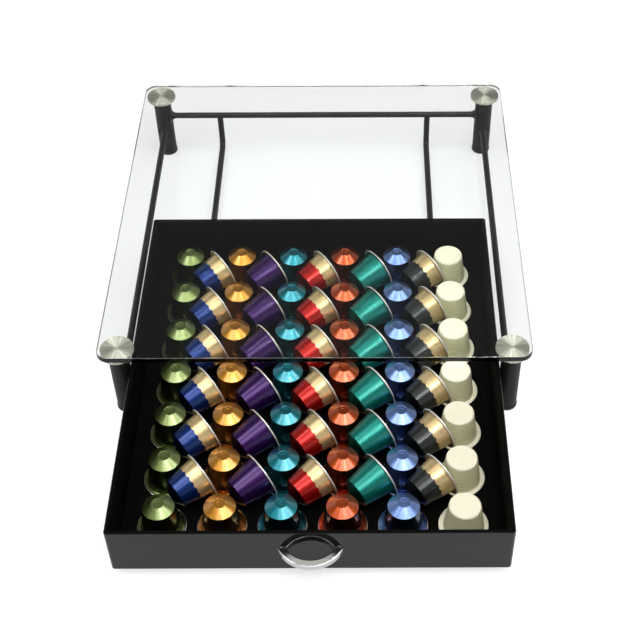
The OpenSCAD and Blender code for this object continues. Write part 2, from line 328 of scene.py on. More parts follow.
def rod(name, start, end, *nodes, corner=None, weld=0.0):
    """A rod from start to end, past an optional corner, with a fillet of the weld's size round both ends."""
    middle = [corner] if corner else []
    along = (end - start).normalized()
    near = []
    far = []
    for row in range(WELD_ROWS + 1 if weld else 1):
        back = weld * row / WELD_ROWS
        flare = weld - math.sqrt(weld ** 2 - (weld - back) ** 2)
        near.append((start + along * back, flare))
        far.insert(0, (end - along * back, flare))
    points = near + [(point, 0.0) for point in middle] + far
    line = bpy.data.curves.new(name, "CURVE")
    line.dimensions = "3D"
    spline = line.splines.new("POLY")
    spline.points.add(len(points) - 1)
    for point, (place, flare) in zip(spline.points, points):
        point.co = *place, 1
        point.radius = 1 + flare / rod_r
    mesh = grown(line, ROD_NODES, {
        "Bend radius": RUNNER_BEND if corner else 0.0, "Bend points": BEND_POINTS if corner else 1,
        "Rod radius": rod_r, "Sides": ROD_SIDES, "Finish": powder_black})
    fitted(name, mesh, "frame", "black_powder_coat", *nodes)


def between(first, last, height):
    """Ends of a rod between two legs, sunk into their walls for the weld."""
    lift = Vector((0, 0, height))
    inset = (leg_axes[last] - leg_axes[first]).normalized() * (tube_r - WELD_SINK)
    return leg_axes[first] + lift + inset, leg_axes[last] + lift - inset


def mid_height(node):
    """Height of the middle of a node."""
    low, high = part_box(node)
    return (low.z + high.z) / 2


ROD_NODES = rod_nodes()
rear_z = mid_height("rear_crossbar")
runner_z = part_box("runner_left")[0].z + rod_r
for name, first, last, node, height, weld in (
    ("rear_rod", "rear_left", "rear_right", "rear_crossbar", rear_z, REAR_WELD),
    ("front_rod", "front_left", "front_right", "front_crossbar", runner_z, FRONT_WELD),
    ("left_rail", "front_left", "rear_left", "side_rail_left", mid_height("side_rail_left"), RAIL_WELD),
    ("right_rail", "front_right", "rear_right", "side_rail_right", mid_height("side_rail_right"), RAIL_WELD),
):
    rod(name, *between(first, last, height), node, weld=weld)
for side in ("left", "right"):
    low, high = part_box(f"runner_{side}")
    x = (low.x + high.x) / 2
    front_y = leg_axes["front_left"].y
    rear_y = leg_axes["rear_left"].y
    rod(f"{side}_runner", Vector((x, rear_y, rear_z)), Vector((x, front_y, runner_z)), f"runner_{side}",
        corner=Vector((x, rear_y, runner_z)))

# Threaded inserts in the tubes' upper ends, and the studs of the discs that screw into them.
# Both are machined from steel bar and zinc-plated; the tubes hide them once the rack is together.


def zinc_plate():
    """Clear-passivated zinc on steel: bluish grey metal with a faint cloudy bloom."""
    bloom_size = 3 * MM
    finish, tree = new_finish("zinc_plated_steel")
    place = add(tree, "ShaderNodeTexCoord")
    bloom = add(tree, "ShaderNodeTexNoise", {
        "Vector": place.outputs["Object"], "Scale": 1 / bloom_size, "Detail": 4.0})
    tone = add(tree, "ShaderNodeMix", {
        0: bloom.outputs[0], 6: linear("#b3b5b8"), 7: linear("#d0cfc6")}, data_type="RGBA")
    sheen = add(tree, "ShaderNodeMapRange", {
        "Value": bloom.outputs[0], "From Min": 0.3, "From Max": 0.7, "To Min": 0.26, "To Max": 0.42})
    shader = add(tree, "ShaderNodeBsdfPrincipled", {
        "Base Color": tone.outputs[2], "Metallic": 1.0, "Roughness": sheen.outputs[0]})
    add(tree, "ShaderNodeOutputMaterial", {"Surface": shader.outputs[0]})
    return finish


zinc = zinc_plate()
for node in ("leg_inserts", "disc_studs"):
    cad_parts[node].material_slots[0].material = zinc

# Glass discs: four steel discs, faced on a lathe and bonded under the glass corners with clear adhesive.
# Each carries a stud that screws into its leg, so the discs hold the glass.


def turned_steel():
    """Stainless steel straight from the lathe: fine rings that stretch every highlight across them, and
    painted highlight and shade in light and dark streaks round the disc.
    """
    ring_pitch = 0.45 * MM  # the real feed is about 0.1 mm, too fine to show
    ring_depth = 0.02 * MM
    patch_size = 5 * MM
    painted_rays = 26.0  # sets how many light and dark streaks go round
    finish, tree = new_finish("turned_stainless_steel")
    place = add(tree, "ShaderNodeTexCoord")
    section = add(tree, "ShaderNodeUVMap", uv_map="section")
    split = add(tree, "ShaderNodeSeparateXYZ", {0: section.outputs[0]})
    rings = add(tree, "ShaderNodeMath", {
        0: split.outputs[0], 1: 2 * math.pi / ring_pitch}, operation="MULTIPLY")
    groove = add(tree, "ShaderNodeMath", {0: rings.outputs[0]}, operation="SINE")
    relief = add(tree, "ShaderNodeBump", {
        "Height": groove.outputs[0], "Strength": 0.05, "Distance": ring_depth})
    patch = add(tree, "ShaderNodeTexNoise", {
        "Vector": place.outputs["Object"], "Scale": 1 / patch_size, "Detail": 3.0})
    sheen = add(tree, "ShaderNodeMapRange", {
        "Value": patch.outputs[0], "From Min": 0.3, "From Max": 0.7, "To Min": 0.5, "To Max": 0.58})
    turn = add(tree, "ShaderNodeUVMap", uv_map="turn")
    # Painted highlight and shade: the colour runs lighter and darker in streaks round the disc.
    painted_rays_at = add(tree, "ShaderNodeMapping", {0: turn.outputs[0], "Scale": (painted_rays, 0.0, 0.0)})
    painted_streak = add(tree, "ShaderNodeTexNoise", {"Vector": painted_rays_at.outputs[0], "Scale": 1.0, "Detail": 4.0})
    painted_streak_share = add(tree, "ShaderNodeMapRange", {
        "Value": painted_streak.outputs[0], "From Min": 0.35, "From Max": 0.65})
    tone = add(tree, "ShaderNodeMix", {
        0: painted_streak_share.outputs[0], 6: linear("#b4b19f"), 7: linear("#e4e2d8")}, data_type="RGBA")
    grain = add(tree, "ShaderNodeTangent", direction_type="UV_MAP", uv_map="turn")
    shader = add(tree, "ShaderNodeBsdfPrincipled", {
        "Base Color": tone.outputs[2], "Metallic": 1.0, "Roughness": sheen.outputs[0],
        "Anisotropic": 0.8, "Anisotropic Rotation": 0.25,
        "Tangent": grain.outputs[0], "Normal": relief.outputs[0]})
    add(tree, "ShaderNodeOutputMaterial", {"Surface": shader.outputs[0]})
    return finish


DISC_EDGE = 0.5 * MM
DISC_SIDES = 96
ADHESIVE = 0.05 * MM
disc_steel = turned_steel()
for corner in CORNERS:
    low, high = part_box(f"disc_{corner}")
    disc_r = (high.x - low.x) / 2
    disc = turned(rounded([
        (0, high.z - ADHESIVE, 0),
        (disc_r, high.z - ADHESIVE, DISC_EDGE),
        (disc_r, low.z, DISC_EDGE),
        (0, low.z, 0),
    ]), sides=DISC_SIDES)
    shift(disc, *leg_axes[corner])
    disc.materials.append(disc_steel)
    fitted(f"turned_disc_{corner}", disc, "frame", "brushed_disc", f"disc_{corner}")

# Glass shelf: one pane of float glass, cut with round corners, its edges ground to a small chamfer
# and polished before it was tempered. It lies on the four bonded discs.
GLASS_CORNER = 10 * MM
GLASS_CORNER_STEPS = 12
GLASS_CHAMFER = 0.9 * MM
PANE_FLATNESS = 0.95


def slab(outline, low, high):
    """Mesh of a flat outline (x, y) raised from one height to another."""
    bm = bmesh.new()
    lower = [bm.verts.new((x, y, low)) for x, y in outline]
    upper = [bm.verts.new((x, y, high)) for x, y in outline]
    bm.faces.new(lower)
    bm.faces.new(upper)
    for i in range(len(outline)):
        bm.faces.new((lower[i - 1], lower[i], upper[i], upper[i - 1]))
    for face in bm.faces:
        face.smooth = True
    bmesh.ops.recalc_face_normals(bm, faces=bm.faces)
    return as_mesh(bm)


def eased(mesh, width):
    """The mesh with its sharp edges rounded, and its flats shaded flat."""
    sharp = math.radians(40)
    segments = 3
    holder = in_scene("eased", mesh)
    bevel = holder.modifiers.new("edges", "BEVEL")
    bevel.width = width
    bevel.segments = segments
    bevel.limit_method = "ANGLE"
    bevel.angle_limit = sharp
    holder.modifiers.new("shading", "WEIGHTED_NORMAL").weight = 100
    return settled(holder)


def float_glass(name, skin, haze):
    """Soda-lime float glass: clear through its thickness, and green along its width from the iron in it.
    Ground edges are softer, and their dimmer green is painted shade; the green itself comes from the iron.
    Lamps shine through it, because a traced pane would otherwise shade all that lies under it."""
    finish, tree = new_finish(name)
    shader = add(tree, "ShaderNodeBsdfPrincipled", {
        "Base Color": linear(skin), "Roughness": haze, "IOR": 1.52, "Transmission Weight": 1.0})
    clear = add(tree, "ShaderNodeBsdfTransparent", {"Color": linear("#f8faf9")})
    ray = add(tree, "ShaderNodeLightPath")
    pane = add(tree, "ShaderNodeMixShader", {
        0: ray.outputs["Is Shadow Ray"], 1: shader.outputs[0], 2: clear.outputs[0]})
    iron = add(tree, "ShaderNodeVolumeAbsorption", {"Color": linear("#c4dccf"), "Density": 16.0})
    add(tree, "ShaderNodeOutputMaterial", {"Surface": pane.outputs[0], "Volume": iron.outputs[0]})
    return finish


low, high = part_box("glass_top")
pane = eased(slab(rounded([
    (low.x, low.y, GLASS_CORNER),
    (high.x, low.y, GLASS_CORNER),
    (high.x, high.y, GLASS_CORNER),
    (low.x, high.y, GLASS_CORNER),
], steps=GLASS_CORNER_STEPS), low.z, high.z), GLASS_CHAMFER)
pane.materials.append(float_glass("tempered_float_glass", "#ffffff", 0.0))
# The ground edge's dimmer green colour is painted shade.
pane.materials.append(float_glass("ground_glass_edge_painted_shade", "#6d8379", 0.08))
for face in pane.polygons:
    face.material_index = 1 if abs(face.normal.z) < PANE_FLATNESS else 0
fitted("glass_shelf", pane, "frame", "tempered_glass", "glass_top")

# Drawer panels: five boards lacquered black, gloss outside and matt inside, the ends with round corners.
# The sides butt between the front and the back, the floor lies between all four, and all are glued.
BOARD_EDGE = 0.4 * MM
BOARD_CORNER = 2.5 * MM
SIDE_ROUND = 1.0 * MM
BOARD_ARC = {"steps": 6, "crisp": 0.02}
LEVEL_FACE = 0.9
drawer_low, drawer_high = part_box("drawer_floor")
drawer_middle = (drawer_low + drawer_high) / 2


def gloss_lacquer():
    """Piano-black lacquer on thin board: a clear mirror gloss with a long, faint ripple under it."""
    ripple_size = 9 * MM
    ripple_depth = 0.05 * MM
    dust_size = 0.7 * MM
    finish, tree = new_finish("black_gloss_lacquer")
    place = add(tree, "ShaderNodeTexCoord")
    ripple = add(tree, "ShaderNodeTexNoise", {
        "Vector": place.outputs["Object"], "Scale": 1 / ripple_size, "Detail": 1.0})
    relief = add(tree, "ShaderNodeBump", {
        "Height": ripple.outputs[0], "Strength": 0.05, "Distance": ripple_depth})
    dust = add(tree, "ShaderNodeTexNoise", {
        "Vector": place.outputs["Object"], "Scale": 1 / dust_size, "Detail": 2.0})
    haze = add(tree, "ShaderNodeMapRange", {
        "Value": dust.outputs[0], "From Min": 0.4, "From Max": 0.8, "To Min": 0.04, "To Max": 0.12})
    shader = add(tree, "ShaderNodeBsdfPrincipled", {
        "Base Color": linear("#0b0b0d"), "Roughness": haze.outputs[0], "IOR": 1.5,
        "Normal": relief.outputs[0]})
    add(tree, "ShaderNodeOutputMaterial", {"Surface": shader.outputs[0]})
    return finish


def matt_lacquer():
    """Black lacquer left as sprayed: soft and lightless, with a fine pebble."""
    pebble_size = 0.8 * MM
    pebble_depth = 0.05 * MM
    finish, tree = new_finish("black_matt_lacquer")
    place = add(tree, "ShaderNodeTexCoord")
    pebble = add(tree, "ShaderNodeTexNoise", {
        "Vector": place.outputs["Object"], "Scale": 1 / pebble_size, "Detail": 2.0})
    relief = add(tree, "ShaderNodeBump", {
        "Height": pebble.outputs[0], "Strength": 0.3, "Distance": pebble_depth})
    tone = add(tree, "ShaderNodeMix", {
        0: pebble.outputs[0], 6: linear("#040404"), 7: linear("#0b0a09")}, data_type="RGBA")
    shader = add(tree, "ShaderNodeBsdfPrincipled", {
        "Base Color": tone.outputs[2], "Roughness": 0.6, "Specular IOR Level": 0.03,
        "Normal": relief.outputs[0]})
    add(tree, "ShaderNodeOutputMaterial", {"Surface": shader.outputs[0]})
    return finish


def lacquered(mesh):
    """The board with gloss lacquer on the faces that look away from the drawer, and matt on the rest."""
    mesh.materials.clear()
    mesh.materials.append(lacquer)
    mesh.materials.append(matt)
    for face in mesh.polygons:
        outward = face.normal.xy.dot((face.center - drawer_middle).xy) > 0
        face.material_index = 0 if outward and abs(face.normal.z) < LEVEL_FACE else 1
    return mesh


def end_board(node, outer):
    """The front or back board, with its two outer corners rounded."""
    low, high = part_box(node)
    front, back = (BOARD_CORNER, 0) if outer == "front" else (0, BOARD_CORNER)
    return slab(rounded([
        (low.x, low.y, front),
        (high.x, low.y, front),
        (high.x, high.y, back),
        (low.x, high.y, back),
    ], **BOARD_ARC), low.z, high.z)


def plain_board(node):
    """A board with square corners."""
    low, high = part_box(node)
    return slab([Vector(c) for c in (
        (low.x, low.y), (high.x, low.y), (high.x, high.y), (low.x, high.y))], low.z, high.z)


def side_board(node):
    """A board along Y whose upper edge is rounded."""
    low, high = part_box(node)
    board = slab(rounded([
        (low.x, low.z, 0),
        (high.x, low.z, 0),
        (high.x, high.z, SIDE_ROUND),
        (low.x, high.z, SIDE_ROUND),
    ], **BOARD_ARC), -high.y, -low.y)
    board.transform(Matrix.Rotation(math.radians(90), 4, "X"))
    return board


lacquer = gloss_lacquer()
matt = matt_lacquer()
for name, node, board in (
    ("floor_board", "drawer_floor", plain_board("drawer_floor")),
    ("back_board", "drawer_back", end_board("drawer_back", "back")),
    ("left_board", "drawer_side_left", side_board("drawer_side_left")),
    ("right_board", "drawer_side_right", side_board("drawer_side_right")),
):
    fitted(name, lacquered(eased(board, BOARD_EDGE)), "drawer", "black_gloss_board", node)

# Front board: the fifth lacquered board, glued to the others.
# It is drilled through for the two handle screws.
SCREW_HOLE = 3.1 * MM
DRILL_CLEAR = 0.05 * MM
DRILL_SIDES = 24
screw_low, screw_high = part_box("handle_screws")
screw_head_r = (screw_high.z - screw_low.z) / 2
screw_x = screw_high.x - screw_head_r
screw_z = (screw_low.z + screw_high.z) / 2


def screw_drill():
    """The two holes that the screws pass through, as one shape to take away."""
    reach = screw_high.y - screw_low.y
    drill = turned([Vector(c) for c in (
        (0, 0), (SCREW_HOLE / 2, 0), (SCREW_HOLE / 2, reach), (0, reach))], sides=DRILL_SIDES)
    drill.transform(Matrix.Rotation(math.radians(-90), 4, "X"))
    shift(drill, -screw_x, screw_low.y - DRILL_CLEAR, screw_z)
    return grown(drill, ROW_NODES, {
        "Count": 2, "Step": (2 * screw_x, 0, 0)})


def row_nodes():
    """Geometry nodes for a straight row of one shape at an even pitch. All are turned the same way,
    and each is rolled about its own axis by chance, up to the given angle."""
    tree, given = new_group("straight_row", {
        "Shape": "Geometry",
        "Count": "Int",
        "First": "Vector",
        "Step": "Vector",
        "Turn": "Vector",
        "Roll": "Float",
        "Seed": "Int",
        "Finish": "Material",
    }, "Row")
    line = add(tree, "GeometryNodeMeshLine", {
        "Count": given["Count"], "Start Location": given["First"], "Offset": given["Step"]})
    turn = add(tree, "FunctionNodeEulerToRotation", {0: given["Turn"]})
    row = add(tree, "GeometryNodeInstanceOnPoints", {
        "Points": line.outputs[0], "Instance": given["Shape"], "Rotation": turn.outputs[0]})
    least = add(tree, "ShaderNodeMath", {0: given["Roll"], 1: -1.0}, operation="MULTIPLY")
    chance = add(tree, "FunctionNodeRandomValue", {
        2: least.outputs[0], 3: given["Roll"], "Seed": given["Seed"]}, data_type="FLOAT")
    angles = add(tree, "ShaderNodeCombineXYZ", {2: chance.outputs[1]})
    roll = add(tree, "FunctionNodeEulerToRotation", {0: angles.outputs[0]})
    rolled = add(tree, "GeometryNodeRotateInstances", {
        "Instances": row.outputs[0], "Rotation": roll.outputs[0], "Local Space": True})
    return end_group(tree, rolled, given["Finish"])


def cut_from(mesh, cutter):
    """The mesh with the cutter's shape taken away."""
    tool = in_scene("cutter", cutter)
    holder = in_scene("cut", mesh)
    holder.modifiers.new("cut", "BOOLEAN").object = tool
    mesh = settled(holder)
    bpy.data.objects.remove(tool)
    return mesh


ROW_NODES = row_nodes()
drill = screw_drill()
front_board = lacquered(eased(cut_from(end_board("drawer_front", "front"), drill), BOARD_EDGE))
fitted("front_board", front_board, "drawer", "black_gloss_board", "drawer_front")

# Bow handle: a flat ring of zinc alloy, cast with soft edges, polished and chrome-plated.
# It is cut off flat where it meets the front board, and two screws from inside hold it there.
BOW_BAND = 5.5 * MM
BOW_EDGE = 0.7 * MM
BOW_DRAFT = 0.35 * MM
BOW_CENTRE_BACK = 10 * MM
BOW_SIDES = 160
CUT_SLACK = 0.001 * MM


def chrome_plate():
    """Bright chrome over polished nickel: a cool mirror, with the faintest haze from the polishing mop."""
    haze_size = 2 * MM
    finish, tree = new_finish("chrome_plate")
    place = add(tree, "ShaderNodeTexCoord")
    mop = add(tree, "ShaderNodeTexNoise", {
        "Vector": place.outputs["Object"], "Scale": 1 / haze_size, "Detail": 3.0})
    haze = add(tree, "ShaderNodeMapRange", {
        "Value": mop.outputs[0], "From Min": 0.3, "From Max": 0.8, "To Min": 0.03, "To Max": 0.08})
    shader = add(tree, "ShaderNodeBsdfPrincipled", {
        "Base Color": linear("#dddfe0"), "Metallic": 1.0, "Roughness": haze.outputs[0]})
    add(tree, "ShaderNodeOutputMaterial", {"Surface": shader.outputs[0]})
    return finish


def bow():
    """The part of a ring with soft edges that stands ahead of the front board's face."""
    low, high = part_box("drawer_handle")
    bow_r = high.y - low.y + BOW_CENTRE_BACK
    ring = turned(rounded([
        (bow_r - BOW_BAND, low.z, BOW_EDGE),
        (bow_r, low.z + BOW_DRAFT, BOW_EDGE),
        (bow_r, high.z - BOW_DRAFT, BOW_EDGE),
        (bow_r - BOW_BAND, high.z, BOW_EDGE),
    ], closed=True), sides=BOW_SIDES)
    shift(ring, 0, high.y + BOW_CENTRE_BACK, 0)
    bm = bmesh.new()
    bm.from_mesh(ring)
    bmesh.ops.bisect_plane(
        bm, geom=bm.verts[:] + bm.edges[:] + bm.faces[:], dist=CUT_SLACK,
        plane_co=(0, high.y, 0), plane_no=(0, 1, 0), clear_outer=True)
    bmesh.ops.holes_fill(bm, edges=[edge for edge in bm.edges if edge.is_boundary])
    bmesh.ops.recalc_face_normals(bm, faces=bm.faces)
    return as_mesh(bm)


handle = cut_from(bow(), drill)
handle.materials.clear()
handle.materials.append(chrome_plate())
fitted("bow_handle", handle, "drawer", "chrome_plate", "drawer_handle")

# Handle screws: two machine screws of zinc-plated steel, with pan heads and cross recesses.
# They pass from inside the drawer through the front board into the bow.
SCREW_D = 3 * MM
SCREW_SIDES = 32
HEAD_H = 2 * MM
HEAD_CROWN = 0.9 * MM
HEAD_EDGE = 0.15 * MM
SHANK_ROOT = 0.1 * MM
SHANK_LEAD = 0.4 * MM
RECESS_LENGTH = 3 * MM
RECESS_WIDTH = 0.8 * MM
RECESS_DEPTH = 1.2 * MM


def pan_head_screw():
    """A screw along Z, with its head above z = 0 and its shank below."""
    shank = screw_high.y - screw_low.y - HEAD_H
    screw = turned(rounded([
        (0, HEAD_H, 0),
        (screw_head_r, HEAD_H, HEAD_CROWN),
        (screw_head_r, 0, HEAD_EDGE),
        (SCREW_D / 2, 0, SHANK_ROOT),
        (SCREW_D / 2, -shank, SHANK_LEAD),
        (0, -shank, 0),
    ]), sides=SCREW_SIDES)
    for long, wide in ((RECESS_LENGTH, RECESS_WIDTH), (RECESS_WIDTH, RECESS_LENGTH)):
        slot = slab([Vector(c) / 2 for c in ((-long, -wide), (long, -wide), (long, wide), (-long, wide))],
                    HEAD_H - RECESS_DEPTH, HEAD_H + RECESS_DEPTH)
        screw = cut_from(screw, slot)
    return screw


screws = grown(pan_head_screw(), ROW_NODES, {
    "Count": 2, "First": (-screw_x, screw_high.y - HEAD_H, screw_z), "Step": (2 * screw_x, 0, 0),
    "Turn": (math.radians(-90), 0, 0), "Finish": zinc})
fitted("pan_head_screws", screws, "drawer", "zinc_plated_steel", "handle_screws")

# Standing capsules: five columns of coffee capsules, drawn from dyed aluminium foil with a cone end.
# Each stands on its sealed flange, whose rolled edge shows the bare metal.
CAPSULE_WALL = 0.4 * MM
LID_T = 0.2 * MM
FLANGE_T = 1.0 * MM
FLANGE_STEP = 0.5 * MM
WALL_ROOT = 0.5 * MM
ROLL_WIDTH = 1.2 * MM
ROLL_FOOT = 0.1 * MM
ROLL_INSIDE = 0.2 * MM
ROLL_TOP = 0.45 * MM
ROLL_UNDER = 0.4 * MM
BARE_EDGE = 0.6 * MM
BARE_FADE = 0.12 * MM
CUP_BASE_R = 15 * MM
CUP_SHOULDER = (11.75 * MM, 24 * MM)
SHOULDER_ROUND = 0.5 * MM
CUP_TIP = (4.6 * MM, 28.4 * MM)
TIP_EDGE = 0.2 * MM
TIP_LIP = 0.5 * MM
TIP_SINK = 0.5 * MM
LIP_EDGE = 0.15 * MM
LIP_SLOPE = 0.3 * MM
DIMPLE_R = 1.8 * MM
DIMPLE_DEPTH = 0.4 * MM
DIMPLE_SLOPE = 0.2 * MM
DIMPLE_EDGE = 0.12 * MM
STANDING = ("olive", "gold", "teal", "copper", "periwinkle")
DYES = {
    "olive": "#7c8b4e",
    "gold": "#cd8e2e",
    "teal": "#1b8492",
    "copper": "#b84a10",
    "periwinkle": "#6c8ac4",
}
drawer_floor_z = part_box("drawer_floor")[1].z
column_low, column_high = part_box("capsules_olive")
rim_r = (column_high.x - column_low.x) / 2
standing_count = 7
row_pitch = (column_high.y - column_low.y - 2 * rim_r) / (standing_count - 1)
front_row_y = column_low.y + rim_r


def flange_outline(inner_top):
    """The lower part of every cup's outline: wall root, flange, rolled edge and the way back inside."""
    top = LID_T + FLANGE_T
    sunk = top - FLANGE_STEP
    return [
        (CUP_BASE_R, sunk, WALL_ROOT),
        (rim_r - ROLL_WIDTH, sunk, ROLL_FOOT),
        (rim_r - ROLL_WIDTH, top, ROLL_INSIDE),
        (rim_r, top, ROLL_TOP),
        (rim_r, LID_T, ROLL_UNDER),
        (CUP_BASE_R - CAPSULE_WALL, LID_T, 0),
        (CUP_SHOULDER[0] - CAPSULE_WALL, CUP_SHOULDER[1] - CAPSULE_WALL, 0),
        (inner_top[0], inner_top[1] - CAPSULE_WALL, 0),
        (0, inner_top[1] - CAPSULE_WALL, 0),
    ]


def cone_cup():
    """A cup with a cone end, whose tip is sunk inside a lip and dimpled in the middle, upright on z = 0."""
    tip_r, tip_z = CUP_TIP
    sunk = tip_z - TIP_SINK
    return turned(rounded([
        (0, sunk - DIMPLE_DEPTH, 0),
        (DIMPLE_R, sunk - DIMPLE_DEPTH, DIMPLE_EDGE),
        (DIMPLE_R + DIMPLE_SLOPE, sunk, DIMPLE_EDGE),
        (tip_r - TIP_LIP - LIP_SLOPE, sunk, LIP_EDGE),
        (tip_r - TIP_LIP, tip_z, LIP_EDGE),
        (tip_r, tip_z, TIP_EDGE),
        (*CUP_SHOULDER, SHOULDER_ROUND),
        *flange_outline((tip_r, sunk - DIMPLE_DEPTH)),
    ]))


def anodised(name, dye, print_colour=None,
             wall_metal=1.0, wall_haze=0.2, lacquer_share=0.8, lacquer_haze=0.15):
    """Dyed foil: a satin metal with fine brushed lines round it, bare at the rolled edge, under a clear
    lacquer. The wall is drawn brighter than the cone. A printed cup has a second colour on its end,
    with a scalloped edge."""
    marks_around = 9.0
    mark_pitch = 0.9 * MM  # about 0.2 mm on the real cup, too fine to show
    shoulder_blend = 0.2 * MM
    finish, tree = new_finish(name)
    turn = add(tree, "ShaderNodeUVMap", uv_map="turn")
    section = add(tree, "ShaderNodeUVMap", uv_map="section")
    across = add(tree, "ShaderNodeSeparateXYZ", {0: section.outputs[0]})
    marks_at = add(tree, "ShaderNodeMapping", {
        0: turn.outputs[0], "Scale": (marks_around, 1 / mark_pitch, 1.0)})
    marks = add(tree, "ShaderNodeTexNoise", {"Vector": marks_at.outputs[0], "Scale": 1.0, "Detail": 2.0})
    mark_share = add(tree, "ShaderNodeMapRange", {
        "Value": marks.outputs[0], "From Min": 0.35, "From Max": 0.65, "To Min": 0.2, "To Max": 0.0})
    on_cone = add(tree, "ShaderNodeMapRange", {
        "Value": across.outputs[1],
        "From Min": CUP_SHOULDER[1] - shoulder_blend, "From Max": CUP_SHOULDER[1] + shoulder_blend})
    haze = add(tree, "ShaderNodeMapRange", {
        "Value": on_cone.outputs[0], "To Min": wall_haze, "To Max": 0.3})
    metal = 1.0
    if wall_metal < 1:
        metal = add(tree, "ShaderNodeMapRange", {
            "Value": on_cone.outputs[0], "To Min": wall_metal, "To Max": 1.0}).outputs[0]
    sheen = add(tree, "ShaderNodeMath", {
        0: marks.outputs[0], 1: 0.08, 2: haze.outputs[0]}, operation="MULTIPLY_ADD")
    colour = linear(dye)
    if print_colour:
        colour = printed(tree, turn, across, dye, print_colour)
    bare = add(tree, "ShaderNodeMapRange", {
        "Value": across.outputs[0], "From Min": rim_r - BARE_EDGE, "From Max": rim_r - BARE_EDGE + BARE_FADE})
    marked = add(tree, "ShaderNodeMix", {
        0: mark_share.outputs[0], 6: colour, 7: linear("#000000")}, data_type="RGBA")
    tone = add(tree, "ShaderNodeMix", {
        0: bare.outputs[0], 6: marked.outputs[2], 7: linear("#f0eee8")}, data_type="RGBA")
    shader = add(tree, "ShaderNodeBsdfPrincipled", {
        "Base Color": tone.outputs[2], "Metallic": metal, "Roughness": sheen.outputs[0],
        "Coat Weight": lacquer_share, "Coat Roughness": lacquer_haze, "Coat IOR": 1.6})
    add(tree, "ShaderNodeOutputMaterial", {"Surface": shader.outputs[0]})
    return finish


def printed(tree, turn, across, ground, ink):
    """Colour of a cup whose end is printed: the ground foil below a scalloped line, and ink above it."""
    edge_height = 10.5 * MM
    edge_blend = 0.1 * MM
    scallops = 16
    scallop_depth = 0.5 * MM
    pleats = 32
    around = add(tree, "ShaderNodeSeparateXYZ", {0: turn.outputs[0]})
    wave_at = add(tree, "ShaderNodeMath", {
        0: around.outputs[0], 1: math.pi * scallops}, operation="MULTIPLY")
    wave = add(tree, "ShaderNodeMath", {0: wave_at.outputs[0]}, operation="SINE")
    arches = add(tree, "ShaderNodeMath", {0: wave.outputs[0]}, operation="ABSOLUTE")
    line = add(tree, "ShaderNodeMath", {
        0: arches.outputs[0], 1: -2 * scallop_depth, 2: across.outputs[1]}, operation="MULTIPLY_ADD")
    inked = add(tree, "ShaderNodeMapRange", {
        "Value": line.outputs[0], "From Min": edge_height - edge_blend, "From Max": edge_height + edge_blend})
    pleat_at = add(tree, "ShaderNodeMath", {
        0: around.outputs[0], 1: 2 * math.pi * pleats}, operation="MULTIPLY")
    pleat = add(tree, "ShaderNodeMath", {0: pleat_at.outputs[0]}, operation="SINE")
    pleat_share = add(tree, "ShaderNodeMapRange", {
        "Value": pleat.outputs[0], "From Min": -1.0, "To Min": 0.72, "To Max": 1.0})
    inks = add(tree, "ShaderNodeMix", {
        0: pleat_share.outputs[0], 6: linear("#000000"), 7: linear(ink)}, data_type="RGBA")
    colour = add(tree, "ShaderNodeMix", {
        0: inked.outputs[0], 6: linear(ground), 7: inks.outputs[2]}, data_type="RGBA")
    return colour.outputs[2]


def standing_row(name, cup, finish, seed):
    """A column of seven cups, one behind the other, where the CAD column stands."""
    low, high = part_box(f"capsules_{name}")
    mesh = grown(cup, ROW_NODES, {
        "Count": standing_count, "First": ((low.x + high.x) / 2, front_row_y, drawer_floor_z),
        "Step": (0, row_pitch, 0), "Roll": math.pi, "Seed": seed, "Finish": finish})
    fitted(f"{name}_capsules", mesh, "drawer", f"{name}_capsule", f"capsules_{name}")


for seed, name in enumerate(STANDING):
    standing_row(name, cone_cup(), anodised(f"anodised_{name}_foil", DYES[name]), seed)

# Blunt capsules: the right-hand column, moulded in cream polypropylene with a flat end.
# Fine grooves run round their walls in waves.
BLUNT_END = (10.9 * MM, 24.8 * MM)
BLUNT_EDGE = 0.4 * MM
BLUNT_SHOULDER = 0.3 * MM
BLUNT_SIDES = 64


def blunt_cup():
    """A cup with a flat end, upright on z = 0."""
    return turned(rounded([
        (0, BLUNT_END[1], 0),
        (*BLUNT_END, BLUNT_EDGE),
        (*CUP_SHOULDER, BLUNT_SHOULDER),
        *flange_outline(BLUNT_END),
    ]), sides=BLUNT_SIDES)


